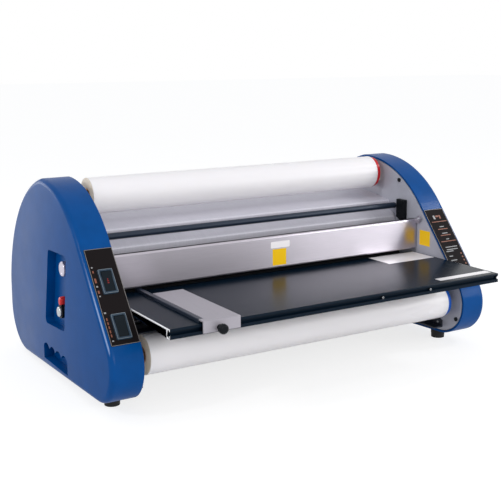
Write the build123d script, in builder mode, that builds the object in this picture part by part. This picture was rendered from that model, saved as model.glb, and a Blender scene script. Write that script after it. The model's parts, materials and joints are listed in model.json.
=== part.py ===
from build123d import *
import math
import os

# Roll laminator, 27 inch film width, millimetres, +Z up.
# X runs along the rollers, -Y is the operator's side, and the origin is on the table under the middle.

# Driving dimensions of the frame and the end covers
film_width = 686.0
plate_inner = 365.0
plate_thickness = 3.0
cover_outer = 426.0
cover_wall = 4.0
cover_edge_radius = 10.0

# Side outline: nose arc, sloping panel face, crown arc, three back arcs, heel arc, straight underside
nose_centre = (-142.8, 91.4)
nose_radius = 70.9
crown_centre = (117.5, 140.0)
crown_radius = 243.3
shoulder_radius = 45.0
shoulder_angle = 76.4
flank_radius = 271.7
flank_angle = 8.8
back_reach = 334.5
heel_radius = 90.0
heel_bottom = 7.5
plate_inset = 5.5

# Panel face on the slope
panel_length = 185.0
panel_width = 52.7
panel_gap_inside = 0.3
panel_start = -2.8
panel_sink = 1.0
panel_thickness = 1.5

# Film, nip and feed heights
nip_height = 182.4
supply_radius = 36.0
upper_supply = (83.5, 347.0)
lower_supply = (-157.2, 95.4)
core_radius = 15.0
core_bore = 12.7
mandrel_radius = 8.0

# Rollers
heat_y = -20.0
heat_radius = 32.0
pull_y = 165.0
pull_radius = 25.0
gear_module = 1.8
heat_teeth = 36
pull_teeth = 28
transfer_teeth = 72
pinion_teeth = 15
gear_start = 372.5
gear_width = 10.0
heat_offset = gear_module * heat_teeth / 2
pull_offset = gear_module * pull_teeth / 2
upper_heat = (heat_y, nip_height + heat_offset)
lower_heat = (heat_y, nip_height - heat_offset)
upper_pull = (pull_y, nip_height + pull_offset)
lower_pull = (pull_y, nip_height - pull_offset)
heat_journal = 10.0
pull_journal = 8.0
roller_end = 345.0
running_gap = 0.05

# Roller lift
lift_axis = (42.0, 138.0)
lift_shaft_radius = 6.0
arm_pivot = (80.0, upper_heat[1])
arm_start = 349.0
arm_thickness = 6.0
cam_radius = 11.0
cam_throw = 3.0
follower_gap = 0.8
arm_bush_radius = 13.0
spring_wire = 1.6

# Idler bars
upper_idler = (9.5, 278.0)
lower_idler = (-78.0, 112.0)
idler_radius = 6.5
idler_end = 361.0

# Heat shield
shield_y = -63.5
shield_bottom = 192.0
shield_top = 256.0
shield_pivot = (-74.0, 258.5)
shield_end = 362.0
sheet = 1.5

# Feed tray and paper guide
tray_front = -309.5
tray_back = -53.5
tray_end = 363.0
tray_sheet = 2.5
rail_depth = 12.5
rail_height = 17.4
groove_height = 174.5
guide_left = -306.0
guide_right = -236.0
guide_top = 188.5
guide_back = -106.5
fence_width = 9.0
knob_x = -276.0

# Left window with the tension knob and the pressure lever
window_corners = [(82.2, 252.0), (-16.3, 255.0), (5.6, 109.0), (111.4, 102.0)]
window_depth = 17.0
window_corner_radius = 10.0
tension_axis = (22.5, 224.0)

# Fasteners that hold the covers, and the feet
cover_screw_points = [(-2.0, 336.0), (-193.0, 60.0), (285.0, 215.0), (200.0, 45.0)]
foot_points = [(385.0, -115.5), (385.0, 200.0)]
foot_height = 26.0
foot_radius = 16.0

os.makedirs("parts", exist_ok=True)


def save(piece, name):
    """Labels a finished piece and writes it as one STEP file."""
    piece.part.label = name
    export_step(piece.part, f"parts/{name}.step")


def rod(centre, radius, start, end, mode=Mode.ADD):
    """A round bar along X, in the piece in hand, from start to end."""
    with BuildSketch(Plane.YZ.offset(start)) as face:
        with Locations(centre):
            Circle(radius)
    extrude(face.sketch, amount=end - start, mode=mode)


def tube(centre, radius, bore, start, end):
    """A round tube along X."""
    with BuildSketch(Plane.YZ.offset(start)) as face:
        with Locations(centre):
            Circle(radius)
            Circle(bore, mode=Mode.SUBTRACT)
    extrude(face.sketch, amount=end - start)


def block(low, high, mode=Mode.ADD):
    """A rectangular bar between two corners given as (x, y, z)."""
    size = [high[i] - low[i] for i in range(3)]
    middle = tuple((high[i] + low[i]) / 2 for i in range(3))
    with Locations(middle):
        Box(*size, mode=mode)


def bent_sheet(points, thickness, start, end, bend_radius=3.0):
    """Sheet metal bent along a run of (y, z) points, drawn from start to end along X."""
    with BuildSketch(Plane.YZ.offset(start)) as face:
        with BuildLine() as run:
            FilletPolyline(*points, radius=bend_radius)
        trace(run.line, line_width=thickness)
    extrude(face.sketch, amount=end - start)


def tangent_normal(other_centre, other_radius, side):
    """The angle of the normal of the line that touches the nose arc and another arc on one side."""
    reach = math.dist(nose_centre, other_centre)
    heading = math.atan2(other_centre[1] - nose_centre[1], other_centre[0] - nose_centre[0])
    return heading + side * math.acos((nose_radius - other_radius) / reach)


# Slope geometry: the tangent line that joins the nose arc and the crown arc
slope_normal = tangent_normal(crown_centre, crown_radius, 1)
normal_y = math.cos(slope_normal)
normal_z = math.sin(slope_normal)
up_y = normal_z
up_z = -normal_y
slope_foot = (nose_centre[0] + nose_radius * normal_y, nose_centre[1] + nose_radius * normal_z)
slope_head = (crown_centre[0] + crown_radius * normal_y, crown_centre[1] + crown_radius * normal_z)
slope_length = math.dist(slope_foot, slope_head)


def slope_point(distance, lift=0.0):
    """The (y, z) of a point up the slope from its foot, raised by lift along the normal."""
    y = slope_foot[0] + up_y * distance + normal_y * lift
    z = slope_foot[1] + up_z * distance + normal_z * lift
    return (y, z)


def slope_plane(x, distance, lift=0.0):
    """A plane that lies on the slope: its X runs along the rollers and its Y up the slope."""
    y, z = slope_point(distance, lift)
    return Plane(origin=(x, y, z), x_dir=(1, 0, 0), z_dir=(0, normal_y, normal_z))


def on_circle(centre, radius, angle):
    """The point of a circle at an angle in degrees."""
    turn = math.radians(angle)
    return (centre[0] + radius * math.cos(turn), centre[1] + radius * math.sin(turn))


# Back of the outline: three arcs, each tangent to the one before, down to a vertical end
shoulder_centre = (crown_centre[0], crown_centre[1] + crown_radius - shoulder_radius)
shoulder_end = on_circle(shoulder_centre, shoulder_radius, shoulder_angle)
flank_centre = on_circle(shoulder_end, -flank_radius, shoulder_angle)
flank_end = on_circle(flank_centre, flank_radius, flank_angle)
toe_radius = (back_reach - flank_end[0]) / (1 - math.cos(math.radians(flank_angle)))
toe_centre = on_circle(flank_end, -toe_radius, flank_angle)
heel_centre = (back_reach - heel_radius, heel_bottom + heel_radius)
underside_normal = math.degrees(tangent_normal(heel_centre, heel_radius, -1)) % 360


def side_profile(x, inset=0.0):
    """The side outline on the plane at x, drawn smaller by inset."""
    slope_angle = math.degrees(slope_normal)
    with BuildSketch(Plane.YZ.offset(x)) as profile:
        with BuildLine():
            CenterArc(nose_centre, nose_radius - inset, underside_normal, slope_angle - underside_normal)
            Line(slope_point(0, -inset), slope_point(slope_length, -inset))
            CenterArc(crown_centre, crown_radius - inset, slope_angle, 90 - slope_angle)
            CenterArc(shoulder_centre, shoulder_radius - inset, 90, shoulder_angle - 90)
            CenterArc(flank_centre, flank_radius - inset, shoulder_angle, flank_angle - shoulder_angle)
            CenterArc(toe_centre, toe_radius - inset, flank_angle, -flank_angle)
            Line((back_reach - inset, toe_centre[1]), (back_reach - inset, heel_centre[1]))
            CenterArc(heel_centre, heel_radius - inset, 0, underside_normal - 360)
            Line(
                on_circle(heel_centre, heel_radius - inset, underside_normal),
                on_circle(nose_centre, nose_radius - inset, underside_normal),
            )
        make_face()
    return profile.sketch


def grip_outline(x, grow=0.0):
    """The hand hold in the side of a cover: a slot whose upper edge has four finger scallops."""
    back, front = 126.0, -4.0
    bottom, shoulder = 27.0, 50.0
    finger_radius, finger_height = 20.0, 40.5
    fingers = 4
    pitch = (back - front) / fingers
    with BuildSketch(Plane.YZ.offset(x)) as outline:
        with Locations(((back + front) / 2, (bottom + shoulder) / 2)):
            Rectangle(back - front, shoulder - bottom)
        for i in range(fingers):
            middle = front + pitch * (i + 0.5)
            with BuildSketch(Plane.YZ.offset(x), mode=Mode.PRIVATE) as finger:
                with Locations((middle, finger_height)):
                    Circle(finger_radius)
                with Locations((middle, finger_height + finger_radius / 2)):
                    Rectangle(pitch, finger_radius, mode=Mode.INTERSECT)
            add(finger.sketch_local)
        if grow:
            offset(amount=grow, mode=Mode.REPLACE)
    return outline.sketch


def window_outline(x, grow=0.0):
    """The leaning window in the left cover."""
    with BuildSketch(Plane.YZ.offset(x)) as outline:
        with BuildLine():
            Polyline(*window_corners, close=True)
        make_face()
        fillet(outline.vertices(), radius=window_corner_radius)
        if grow:
            offset(amount=grow, mode=Mode.REPLACE)
    return outline.sketch


def cover_body():
    """A right-hand end cover: a moulded shell with screw bosses, foot holes and a hand hold."""
    grip_depth = 20.0
    grip_wall = 3.0
    boss_radius = 6.0
    with BuildPart() as void:
        extrude(side_profile(plate_inner, cover_wall), amount=cover_outer - cover_wall - plate_inner)
        fillet(void.faces().sort_by(Axis.X)[-1].edges(), radius=cover_edge_radius - cover_wall)
    with BuildPart() as body:
        extrude(side_profile(cover_outer), amount=plate_inner - cover_outer)
        fillet(body.faces().sort_by(Axis.X)[-1].edges(), radius=cover_edge_radius)
        add(void.part, mode=Mode.SUBTRACT)
        pocket_floor = cover_outer - grip_depth
        extrude(grip_outline(pocket_floor - grip_wall, grip_wall), amount=grip_depth)
        extrude(grip_outline(pocket_floor), amount=grip_depth, mode=Mode.SUBTRACT)
        for point in cover_screw_points:
            rod(point, boss_radius, plate_inner + plate_thickness, cover_outer - cover_wall + 0.5)
            rod(point, 2.0, plate_inner, cover_outer - cover_wall - 8, mode=Mode.SUBTRACT)
        with BuildSketch(Plane.XY) as foot_holes:
            with Locations(*foot_points):
                Circle(foot_radius + 2)
        extrude(foot_holes.sketch, amount=foot_height, mode=Mode.SUBTRACT)
        with BuildSketch(slope_plane(panel_middle_x - panel_gap_inside, panel_middle)) as seat:
            Rectangle(panel_width + 2 * panel_gap_inside + 0.6, panel_length + 0.4)
        extrude(seat.sketch, amount=-panel_sink, mode=Mode.SUBTRACT)
    return body.part


# End covers
panel_middle_x = plate_inner + panel_gap_inside + panel_width / 2
panel_middle = panel_start + panel_length / 2
switch_distances = [116.7, 30.7]
switch_x = plate_inner + 26.0
switch_bezel = (28.5, 48.5)
switch_barrel = (24.0, 43.0)

shell = cover_body()

with BuildPart() as right_cover:
    add(shell)
save(right_cover, "right_cover")

with BuildPart() as left_cover:
    add(mirror(shell, about=Plane.YZ))
    window_floor = -(cover_outer - window_depth)
    extrude(window_outline(-cover_outer + cover_wall - 0.5, 3.0), amount=window_depth - cover_wall + 3.5)
    extrude(window_outline(-cover_outer), amount=window_depth, mode=Mode.SUBTRACT)
    rod(tension_axis, 4.2, window_floor - 1, window_floor + 4, mode=Mode.SUBTRACT)
    rod(lift_axis, 7.0, window_floor - 1, window_floor + 4, mode=Mode.SUBTRACT)
    for distance in switch_distances:
        with BuildSketch(slope_plane(-switch_x, distance, 1.0)) as opening:
            Rectangle(switch_barrel[0] + 0.4, switch_barrel[1] + 0.4)
        extrude(opening.sketch, amount=-12.0, mode=Mode.SUBTRACT)
save(left_cover, "left_cover")

# Overlays on the slope: the left one carries the switches, the right one is a plain plate
with BuildPart() as info_panel:
    with BuildSketch(slope_plane(panel_middle_x, panel_middle, -panel_sink)):
        RectangleRounded(panel_width, panel_length, 2.0)
    extrude(amount=panel_thickness)
save(info_panel, "info_panel")

with BuildPart() as control_panel:
    with BuildSketch(slope_plane(-panel_middle_x, panel_middle, -panel_sink)):
        RectangleRounded(panel_width, panel_length, 2.0)
    extrude(amount=panel_thickness)
    for distance in switch_distances:
        with BuildSketch(slope_plane(-switch_x, distance, 1.0)) as opening:
            Rectangle(switch_barrel[0] + 0.4, switch_barrel[1] + 0.4)
        extrude(opening.sketch, amount=-4.0, mode=Mode.SUBTRACT)
save(control_panel, "control_panel")

# Rocker switches
rocker_length = 36.0
rocker_width = 18.6
rocker_pivot_lift = -2.0
rocker_tilt = 8.0
switch_seat = panel_thickness - panel_sink
bezel_thickness = 2.6
bezel_taper = 20.0

with BuildPart() as switch_bodies:
    for distance in switch_distances:
        with BuildSketch(slope_plane(-switch_x, distance, switch_seat)) as bezel:
            RectangleRounded(*switch_bezel, 2.5)
        extrude(bezel.sketch, amount=bezel_thickness, taper=bezel_taper)
        with BuildSketch(slope_plane(-switch_x, distance, switch_seat)) as barrel:
            Rectangle(*switch_barrel)
        extrude(barrel.sketch, amount=-22.0)
        with BuildSketch(slope_plane(-switch_x, distance, switch_seat + bezel_thickness)) as mouth:
            Rectangle(rocker_width + 0.8, rocker_length + 3.6)
        extrude(mouth.sketch, amount=-16.0, mode=Mode.SUBTRACT)
save(switch_bodies, "switch_bodies")

for rocker_name, distance in zip(["motor_rocker", "power_rocker"], switch_distances):
    pivot_y, pivot_z = slope_point(distance, rocker_pivot_lift)
    tilt = math.radians(rocker_tilt)
    tilted = (
        0,
        up_y * math.cos(tilt) + normal_y * math.sin(tilt),
        up_z * math.cos(tilt) + normal_z * math.sin(tilt),
    )
    section = Plane(origin=(-switch_x - rocker_width / 2, pivot_y, pivot_z), x_dir=tilted, z_dir=(1, 0, 0))
    half = rocker_length / 2
    with BuildPart() as rocker:
        with BuildSketch(section):
            with BuildLine():
                ThreePointArc((-half, 6.6), (0, 4.8), (half, 6.6))
                Polyline((half, 6.6), (half - 1.5, -3.5), (1.5 - half, -3.5), (-half, 6.6))
            make_face()
        extrude(amount=rocker_width)
    save(rocker, rocker_name)

# Side plates: a steel sheet with a turned-out foot flange and riveted studs
shield_stud_radius = 3.0
tray_stud_points = [(-150.0, 166.0), (-85.0, 166.0)]
tray_stud_radius = 3.0
slot_width = 24.0
slot_height = 36.0
bush_radius = 14.0
small_bush_radius = 9.0
lower_bush_points = [lower_heat, upper_pull, lower_pull]

transfer_distance_heat = gear_module * (heat_teeth + transfer_teeth) / 2
transfer_distance_pull = gear_module * (pull_teeth + transfer_teeth) / 2
span_y = lower_pull[0] - lower_heat[0]
span_z = lower_pull[1] - lower_heat[1]
span = math.hypot(span_y, span_z)
along = (transfer_distance_heat**2 - transfer_distance_pull**2 + span**2) / (2 * span)
below = math.sqrt(transfer_distance_heat**2 - along**2)
transfer_axis = (
    lower_heat[0] + along * span_y / span + below * span_z / span,
    lower_heat[1] + along * span_z / span - below * span_y / span,
)
motor_axis = (transfer_axis[0], transfer_axis[1] - gear_module * (transfer_teeth + pinion_teeth) / 2)


def plate_body(side):
    """One side plate, at side -1 or 1."""
    flange_reach = 38.0
    flange_bottom = foot_height
    flange_front, flange_back = -141.0, 246.0
    inner = side * plate_inner
    outer = side * (plate_inner + plate_thickness)
    low, high = min(inner, outer), max(inner, outer)
    with BuildPart() as plate:
        extrude(side_profile(low, plate_inset), amount=plate_thickness)
        edge = side * (plate_inner + flange_reach)
        block(
            (min(inner, edge), flange_front, flange_bottom),
            (max(inner, edge), flange_back, flange_bottom + plate_thickness),
        )
        for point in lower_bush_points:
            rod(point, bush_radius, low - 1, high + 1, mode=Mode.SUBTRACT)
        rod(lift_axis, small_bush_radius, low - 1, high + 1, mode=Mode.SUBTRACT)
        for point in cover_screw_points:
            rod(point, 2.2, low - 1, high + 1, mode=Mode.SUBTRACT)
        with BuildSketch(Plane.YZ.offset(low - 1)) as slot:
            with Locations(upper_heat):
                RectangleRounded(slot_width, slot_height, 8.0)
        extrude(slot.sketch, amount=plate_thickness + 2, mode=Mode.SUBTRACT)
        stud_end = side * (plate_inner - 6.5)
        rod(shield_pivot, shield_stud_radius, min(inner, stud_end), max(inner, stud_end))
        for point in tray_stud_points:
            stud_end = side * (plate_inner - 7.0)
            rod(point, tray_stud_radius, min(inner, stud_end), max(inner, stud_end))
        stud_end = side * (arm_start - 1.0)
        rod(arm_pivot, 5.0, min(inner, stud_end), max(inner, stud_end))
    return plate.part


with BuildPart() as left_side_plate:
    add(plate_body(-1))
    rod(tension_axis, 4.05, -plate_inner - plate_thickness - 1, -plate_inner + 1, mode=Mode.SUBTRACT)
save(left_side_plate, "left_side_plate")

with BuildPart() as right_side_plate:
    add(plate_body(1))
    plate_out = plate_inner + plate_thickness
    rod(transfer_axis, 6.0, plate_out, gear_start + gear_width + 2)
    rod(transfer_axis, 9.0, plate_out, gear_start - 0.5)
    rod(motor_axis, 8.0, plate_inner - 1, plate_out + 1, mode=Mode.SUBTRACT)
save(right_side_plate, "right_side_plate")

# Bushes in the plates for the rollers that stay in place and for the lift shaft
with BuildPart() as plate_bushes:
    bush_inside = plate_inner - 3.0
    bush_outside = plate_inner + plate_thickness + 1.5
    journals = [heat_journal, pull_journal, pull_journal]
    for point, journal in zip(lower_bush_points, journals):
        tube(point, bush_radius, journal + running_gap, bush_inside, bush_outside)
        tube(point, bush_radius + 3, journal + running_gap, bush_inside, plate_inner)
    tube(lift_axis, small_bush_radius, lift_shaft_radius + running_gap, bush_inside, bush_outside)
    tube(lift_axis, small_bush_radius + 2, lift_shaft_radius + running_gap, bush_inside, plate_inner)
    mirror(about=Plane.YZ)
save(plate_bushes, "plate_bushes")

# Cross members and sheet covers between the plates
with BuildPart() as front_crossbar:
    bent_sheet([(-88.0, 54.0), (-88.0, 37.0), (-62.0, 37.0), (-62.0, 54.0)], 2.0, -plate_inner, plate_inner)
    with BuildSketch(Plane.YZ.offset(plate_inner - 24)) as bracket_foot:
        with BuildLine():
            Polyline((-152.0, 33.0), (-60.0, 33.0), (-60.0, 36.0), (-152.0, 36.0), close=True)
        make_face()
    extrude(bracket_foot.sketch, amount=24)
    with BuildSketch(Plane.YZ.offset(plate_inner - 3)) as bracket_side:
        with BuildLine():
            Polyline((-152.0, 36.0), (-60.0, 36.0), (-60.0, 60.0), (-118.0, 60.0), (-152.0, 48.0), close=True)
        make_face()
        with Locations((-140.0, 42.5), (-78.0, 48.0)):
            Circle(2.2, mode=Mode.SUBTRACT)
    extrude(bracket_side.sketch, amount=3)
    mirror(about=Plane.YZ)
save(front_crossbar, "front_crossbar")

pan_height = 27.75
with BuildPart() as base_pan:
    bent_sheet([(-56.0, 44.0), (-56.0, pan_height), (238.0, pan_height)], sheet, -plate_inner, plate_inner)
    with BuildSketch(Plane.XY.offset(pan_height - 4)) as vents:
        with Locations((-150, 90), (20, 90)):
            with GridLocations(0, 14, 1, 9):
                SlotOverall(90, 5)
    extrude(vents.sketch, amount=8, mode=Mode.SUBTRACT)
save(base_pan, "base_pan")

top_cover_run = [
    (13.0, 238.0),
    (9.8, 253.8),
    (37.0, 266.4),
    (33.0, 286.0),
    (150.0, 303.0),
    (238.0, 270.0),
    (268.0, 214.0),
]
with BuildPart() as rear_top_cover:
    bent_sheet(top_cover_run, sheet, -plate_inner, plate_inner)
save(rear_top_cover, "rear_top_cover")

rear_panel_run = [(274.0, 172.0), (298.0, 160.0), (298.0, 78.0), (262.0, 38.0), (243.0, 29.5)]
rear_face = rear_panel_run[1][0]
inlet_place = (-300.0, 118.0)
inlet_size = (30.0, 24.0)
with BuildPart() as rear_panel:
    bent_sheet(rear_panel_run, sheet, -plate_inner, plate_inner)
    with BuildSketch(Plane.XZ.offset(-rear_face - 4)) as openings:
        with Locations(inlet_place):
            Rectangle(*inlet_size)
        with Locations((150, 118), (0, 118)):
            with GridLocations(0, 9, 1, 7):
                SlotOverall(110, 4)
    extrude(openings.sketch, amount=8, mode=Mode.SUBTRACT)
save(rear_panel, "rear_panel")

with BuildPart() as power_inlet:
    inlet_x, inlet_z = inlet_place
    wide, tall = inlet_size
    out = rear_face + sheet / 2
    block((inlet_x - wide / 2, out - 22, inlet_z - tall / 2), (inlet_x + wide / 2, out, inlet_z + tall / 2))
    ear, rim = wide / 2 + 9, tall / 2 + 3
    block((inlet_x - ear, out, inlet_z - rim), (inlet_x + ear, out + 3, inlet_z + rim))
    block((inlet_x - 11, out - 16, inlet_z - 8), (inlet_x + 11, out + 4, inlet_z + 8), mode=Mode.SUBTRACT)
    for pin_x, pin_z in [(-6.5, -2.0), (0.0, 2.5), (6.5, -2.0)]:
        x, z = inlet_x + pin_x, inlet_z + pin_z
        block((x - 1, out - 16, z - 2), (x + 1, out - 3, z + 2))
save(power_inlet, "power_inlet")

# Supply rolls: film on its core, carried by a mandrel with core plugs and a coloured brake disc
disc_radius = 33.5
disc_start = film_width / 2 + 0.5
disc_width = 9.0
for name, axis in [("upper", upper_supply), ("lower", lower_supply)]:
    half_film = film_width / 2
    with BuildPart() as film_roll:
        tube(axis, supply_radius, core_radius, -half_film, half_film)
    save(film_roll, f"{name}_film_roll")
    with BuildPart() as core:
        tube(axis, core_radius, core_bore, -half_film, half_film)
    save(core, f"{name}_core")
    with BuildPart() as mandrel:
        rod(axis, mandrel_radius, -plate_inner + 1.5, plate_inner - 1.5)
        for side, recess in ((-1, 6.0), (1, 0.0)):
            start, end = sorted((side * (half_film - recess), side * (half_film - 38)))
            rod(axis, core_bore, start, end)
    save(mandrel, f"{name}_mandrel")
    with BuildPart() as brake_disc:
        tube(axis, disc_radius, mandrel_radius, disc_start, disc_start + disc_width)
        tube(axis, disc_radius - 5, mandrel_radius + 5, disc_start + disc_width - 3, disc_start + disc_width)
        with BuildSketch(Plane.YZ.offset(disc_start + 3)) as pockets:
            with Locations(axis):
                with PolarLocations(22.0, 6):
                    Circle(5.0)
        extrude(pockets.sketch, amount=disc_width, mode=Mode.SUBTRACT)
    save(brake_disc, f"{name}_brake_disc")

# Open saddles on the plates, in which the mandrels lie
with BuildPart() as supply_saddles:
    saddle_start = 354.0
    for axis, tilt in [(upper_supply, 0.0), (lower_supply, 35.0)]:
        saddle_plane = Plane(
            origin=(saddle_start, axis[0], axis[1]), x_dir=(0, 1, 0), z_dir=(1, 0, 0)
        ).rotated((0, 0, 0))
        with BuildSketch(Plane(saddle_plane.location * Location((0, 0, 0), (0, 0, tilt)))) as saddle:
            with Locations((0, -6)):
                RectangleRounded(34, 30, 6)
            Circle(mandrel_radius + 0.1, mode=Mode.SUBTRACT)
            with Locations((0, 10)):
                Rectangle(2 * mandrel_radius + 0.2, 20, mode=Mode.SUBTRACT)
        extrude(saddle.sketch, amount=plate_inner - saddle_start)
    mirror(about=Plane.YZ)
save(supply_saddles, "supply_saddles")

# Idler bars turn on fixed shafts
idler_shaft_radius = 4.0
for name, axis in [("upper_idler", upper_idler), ("lower_idler", lower_idler)]:
    with BuildPart() as idler:
        tube(axis, idler_radius, idler_shaft_radius + running_gap, -idler_end, idler_end)
    save(idler, name)

with BuildPart() as idler_shafts:
    rod(upper_idler, idler_shaft_radius, -plate_inner, plate_inner)
    rod(lower_idler, idler_shaft_radius, -plate_inner, plate_inner)
save(idler_shafts, "idler_shafts")

# Magnetic sensor that notices the raised heat shield
with BuildPart() as shield_sensor:
    with BuildSketch(Plane.YZ.offset(plate_inner - 8)):
        with BuildLine():
            Polyline((-29.0, 247.0), (-14.0, 247.0), (-2.0, 254.0), (-2.0, 294.0), (-29.0, 294.0), close=True)
        make_face()
    extrude(amount=8)
    fillet(shield_sensor.edges().filter_by(Axis.X), radius=1.2)
    rod((-8.0, 262.0), 2.0, plate_inner - 9, plate_inner - 8)
    rod((-22.0, 287.0), 2.0, plate_inner - 9, plate_inner - 8)
save(shield_sensor, "shield_sensor")

# Heated rollers: an aluminium tube on hollow journals, a rubber sleeve and a heater rod
sleeve_thickness = 4.0
heater_bore = 6.1
journal_left = 372.0
journal_right = gear_start + gear_width + 1.5
for name, axis in [("upper", upper_heat), ("lower", lower_heat)]:
    tube_radius = heat_radius - sleeve_thickness
    with BuildPart() as heat_roller:
        tube(axis, tube_radius, tube_radius - 5, -roller_end, roller_end)
        for side in (-1, 1):
            start, end = sorted((side * roller_end, side * (roller_end - 12)))
            tube(axis, tube_radius, heater_bore, start, end)
        tube(axis, heat_journal, heater_bore, roller_end, journal_right)
        tube(axis, heat_journal, heater_bore, -journal_left, -roller_end)
    save(heat_roller, f"{name}_heat_roller")
    with BuildPart() as heat_sleeve:
        tube(axis, heat_radius, tube_radius, -roller_end + 1, roller_end - 1)
    save(heat_sleeve, f"{name}_heat_sleeve")
    with BuildPart() as heater:
        rod(axis, 4.0, -journal_left - 6, journal_right + 6)
        for side in (-1, 1):
            start, end = sorted((side * (roller_end + 2), side * (roller_end + 20)))
            rod(axis, 6.0, start, end)
    save(heater, f"{name}_heater")

# Pull rollers: steel shafts with a rubber cover
for name, axis in [("upper", upper_pull), ("lower", lower_pull)]:
    with BuildPart() as pull_roller:
        rod(axis, pull_radius, -roller_end, roller_end)
        rod(axis, pull_journal, roller_end, journal_right)
        rod(axis, pull_journal, -journal_left, -roller_end)
        rims = pull_roller.edges().filter_by(GeomType.CIRCLE).filter_by(lambda e: e.radius > pull_radius - 1)
        chamfer(rims, 1.0)
    save(pull_roller, f"{name}_pull_roller")


def gear(centre, teeth, phase, bore, start, width):
    """A spur gear along X; phase is the angle of one tooth's middle, in degrees."""
    pitch_radius = gear_module * teeth / 2
    tip = pitch_radius + gear_module * 0.95
    root = pitch_radius - gear_module * 1.2
    flank_slack = 0.24
    half_pitch = math.pi * gear_module / 4 - flank_slack
    slant = math.tan(math.radians(20))
    corners = []
    for i in range(teeth):
        middle = math.radians(phase) + 2 * math.pi * i / teeth
        half_root = (half_pitch + (pitch_radius - root) * slant) / root
        half_tip = (half_pitch - (tip - pitch_radius) * slant) / tip
        for radius, turn in [(root, -half_root), (tip, -half_tip), (tip, half_tip), (root, half_root)]:
            angle = middle + turn
            corners.append((centre[0] + radius * math.cos(angle), centre[1] + radius * math.sin(angle)))
    with BuildSketch(Plane.YZ.offset(start)) as face:
        with BuildLine():
            Polyline(*corners, close=True)
        make_face()
        with Locations(centre):
            Circle(bore, mode=Mode.SUBTRACT)
    extrude(face.sketch, amount=width)


def direction(here, there):
    """The angle in degrees from one axis to another."""
    return math.degrees(math.atan2(there[1] - here[1], there[0] - here[0]))


def mesh_phase(phase, teeth, mate_teeth, angle):
    """The phase of the gear that meshes with a gear of a known phase in the direction angle."""
    pitch = 360 / teeth
    lead = (angle - phase) % pitch
    return angle + 180 + lead * teeth / mate_teeth + 180 / mate_teeth


# Gear train on the right-hand plate
lower_heat_phase = direction(lower_heat, upper_heat)
upper_heat_phase = mesh_phase(lower_heat_phase, heat_teeth, heat_teeth, lower_heat_phase)
to_transfer = direction(lower_heat, transfer_axis)
transfer_phase = mesh_phase(lower_heat_phase, heat_teeth, transfer_teeth, to_transfer)
to_pull = direction(transfer_axis, lower_pull)
lower_pull_phase = mesh_phase(transfer_phase, transfer_teeth, pull_teeth, to_pull)
up = direction(lower_pull, upper_pull)
upper_pull_phase = mesh_phase(lower_pull_phase, pull_teeth, pull_teeth, up)
to_motor = direction(transfer_axis, motor_axis)
pinion_phase = mesh_phase(transfer_phase, transfer_teeth, pinion_teeth, to_motor)

gear_table = [
    ("lower_heat_gear", lower_heat, heat_teeth, lower_heat_phase, heat_journal),
    ("upper_heat_gear", upper_heat, heat_teeth, upper_heat_phase, heat_journal),
    ("lower_pull_gear", lower_pull, pull_teeth, lower_pull_phase, pull_journal),
    ("upper_pull_gear", upper_pull, pull_teeth, upper_pull_phase, pull_journal),
]
for name, axis, teeth, phase, bore in gear_table:
    with BuildPart() as wheel:
        gear(axis, teeth, phase, bore, gear_start, gear_width)
    save(wheel, name)

with BuildPart() as motor_pinion:
    gear(motor_axis, pinion_teeth, pinion_phase, 5.0, gear_start, gear_width)
    rod(motor_axis, 5.0, plate_inner - 9.5, gear_start + gear_width + 1)
save(motor_pinion, "motor_pinion")

with BuildPart() as transfer_gear:
    gear(transfer_axis, transfer_teeth, transfer_phase, 6.0 + running_gap, gear_start, gear_width)
    with BuildSketch(Plane.YZ.offset(gear_start)) as lightening:
        with Locations(transfer_axis):
            with PolarLocations(38.0, 6):
                Circle(12.0)
    extrude(lightening.sketch, amount=gear_width, mode=Mode.SUBTRACT)
save(transfer_gear, "transfer_gear")

with BuildPart() as drive_motor:
    gearbox_start = plate_inner - 32.0
    block(
        (gearbox_start, motor_axis[0] - 31, motor_axis[1] - 31),
        (plate_inner, motor_axis[0] + 31, motor_axis[1] + 31),
    )
    fillet(drive_motor.edges().filter_by(Axis.X), radius=5)
    rod(motor_axis, 29.0, gearbox_start - 88, gearbox_start)
    rod(motor_axis, 12.0, gearbox_start - 96, gearbox_start - 88)
    rod(motor_axis, 5.3, plate_inner - 10, plate_inner, mode=Mode.SUBTRACT)
save(drive_motor, "drive_motor")

# Roller lift: a cross shaft with two cams, turned by the lever, rocks two arms that carry the upper roller
lever_length = 33.0
with BuildPart() as lift_shaft:
    rod(lift_axis, lift_shaft_radius, window_floor - 11, plate_inner + plate_thickness + 2)
    for side in (-1, 1):
        start, end = sorted((side * arm_start, side * (arm_start + arm_thickness)))
        rod((lift_axis[0], lift_axis[1] - cam_throw), cam_radius, start, end)
    with BuildSketch(Plane.YZ.offset(window_floor - 11)) as nut:
        with Locations(lift_axis):
            Circle(10.0)
    extrude(nut.sketch, amount=-4.0)
    fillet(lift_shaft.edges().sort_by(Axis.X)[0], radius=2.5)
save(lift_shaft, "lift_shaft")

with BuildPart() as pressure_lever:
    hub_start = window_floor - 1.5
    rod(lift_axis, 12.5, window_floor - 11, hub_start)
    block(
        (hub_start - 8, lift_axis[0] - 6, lift_axis[1]),
        (hub_start - 2, lift_axis[0] + 6, lift_axis[1] + lever_length - 6),
    )
    rod(lift_axis, lift_shaft_radius, window_floor - 12, hub_start + 1, mode=Mode.SUBTRACT)
save(pressure_lever, "pressure_lever")

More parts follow.
